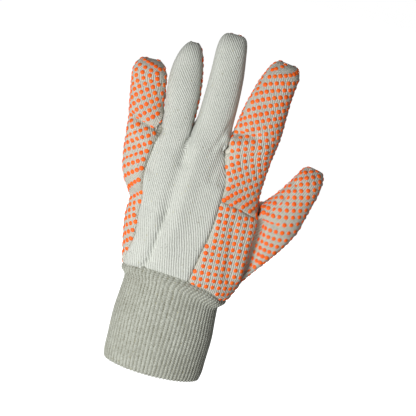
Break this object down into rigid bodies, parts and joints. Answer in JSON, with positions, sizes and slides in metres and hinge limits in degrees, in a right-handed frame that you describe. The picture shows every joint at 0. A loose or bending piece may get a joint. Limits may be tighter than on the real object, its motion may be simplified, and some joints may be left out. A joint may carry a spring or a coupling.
{
  "type": "cotton work glove",
  "caption": "Left-hand cotton canvas work glove with a plain twill back, dotted palm fabric and a ribbed knit wrist, in the form it has when worn.",
  "frame": {"origin": "the middle of the cuff's mouth, where the wrist goes in", "axes": "+Z along the wrist and hand to the fingertips, -Y out of the back of the hand, +X towards the thumb"},
  "size_m": [0.1536, 0.0478, 0.2519],
  "materials": {
    "rib_knit": "matt rib-knitted cotton, warm grey",
    "cotton_twill": "matt unbleached cotton twill with small dark flecks",
    "dotted_cotton": "matt cotton canvas with raised satin dots",
    "grip_dots": "satin orange PVC, slightly domed",
    "seam_thread": "matt cotton sewing thread"
  },
  "bodies": {
    "root": {"knit_cuff": "rib_knit", "back_panel": "cotton_twill", "palm_panel": "dotted_cotton", "thumb_panel": "dotted_cotton", "thumb_front": "dotted_cotton"}
  },
  "joints": []
}
